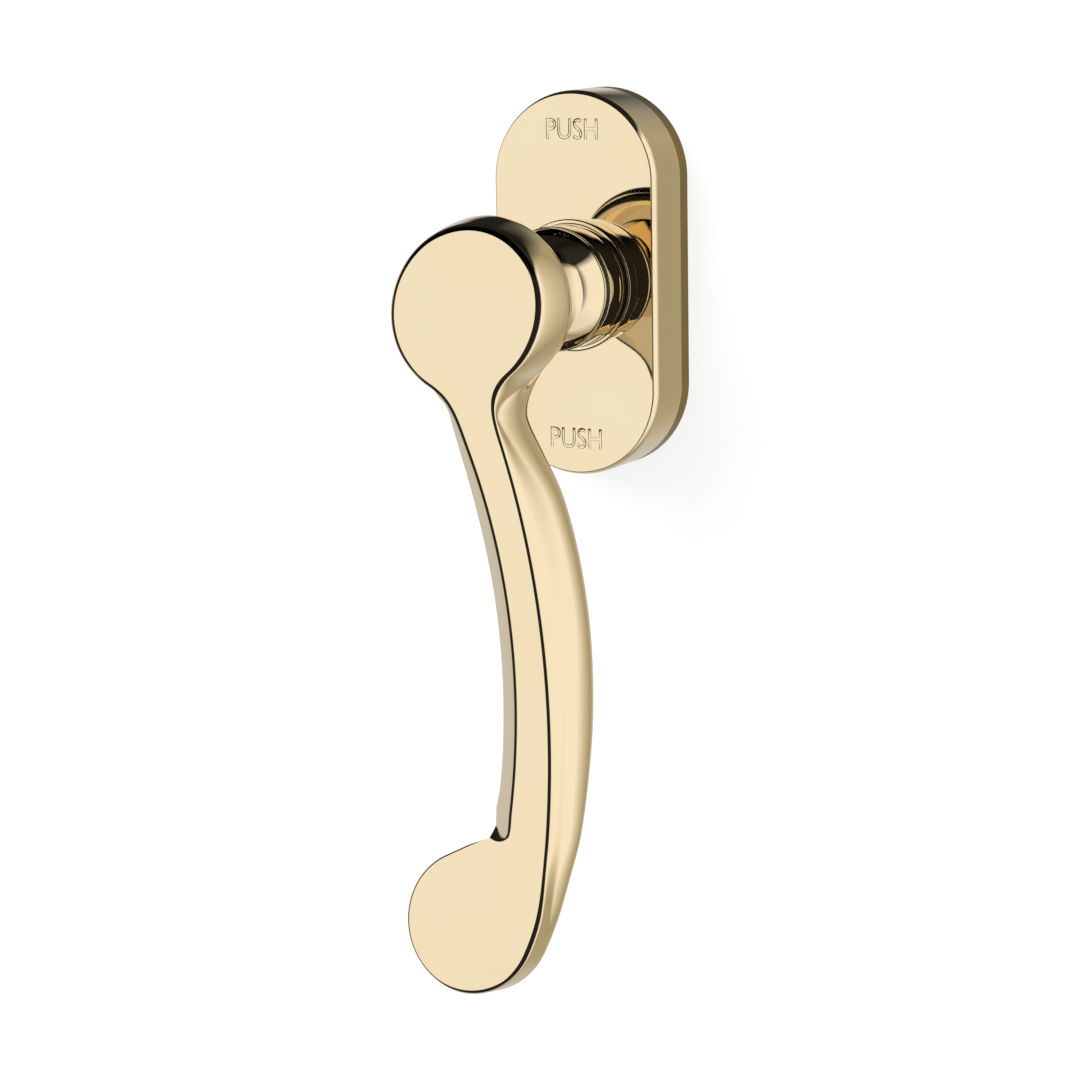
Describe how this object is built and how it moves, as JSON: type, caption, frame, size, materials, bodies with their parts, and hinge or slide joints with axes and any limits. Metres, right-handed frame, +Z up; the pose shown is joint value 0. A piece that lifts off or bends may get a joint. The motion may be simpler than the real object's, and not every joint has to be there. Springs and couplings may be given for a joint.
{
  "type": "window handle",
  "caption": "Tilt-and-turn window handle: a bowed brass lever on a turned neck, a stadium rosette with a clip-on cover, a square spindle and fixing screws.",
  "frame": {"origin": "spindle axis where it crosses the back plate's wall face", "axes": "+Z up along the rosette with the lever hanging down, +Y along the spindle into the window, +X to the right seen from the room"},
  "size_m": [0.0414, 0.1242, 0.1476],
  "materials": {
    "polished_brass": "polished and lacquered",
    "base_metal": "satin cast",
    "steel": "zinc plated",
    "spring_steel": "blank",
    "slide_plastic": "matte"
  },
  "bodies": {
    "base": {"base_plate": "base_metal", "back_plate": "base_metal", "back_plate_screws": "steel", "fixing_screws": "steel", "guide_bush": "polished_brass", "thrust_washer": "slide_plastic", "detent_spring_left": "spring_steel", "detent_spring_right": "spring_steel", "cover_clip_top": "spring_steel", "cover_clip_bottom": "spring_steel", "clip_rivets": "steel"},
    "cover": {"cover": "polished_brass", "cover_ring": "polished_brass"},
    "lever": {"lever": "polished_brass", "neck": "polished_brass", "grub_screw": "steel", "spindle": "steel", "detent_cam": "steel", "wave_washer": "spring_steel", "retaining_ring": "spring_steel"}
  },
  "joints": [
    {"name": "lever_turn", "type": "hinge", "parent": "base", "child": "lever", "pos_m": [0, 0, 0], "axis": [0, -1, 0], "continuous": true, "deforming": ["detent_spring_left", "detent_spring_right"]},
    {"name": "cover_slide", "type": "slide", "parent": "base", "child": "cover", "axis": [0, -1, 0], "range_m": [0, 0.012], "deforming": ["cover_clip_top", "cover_clip_bottom"]}
  ]
}
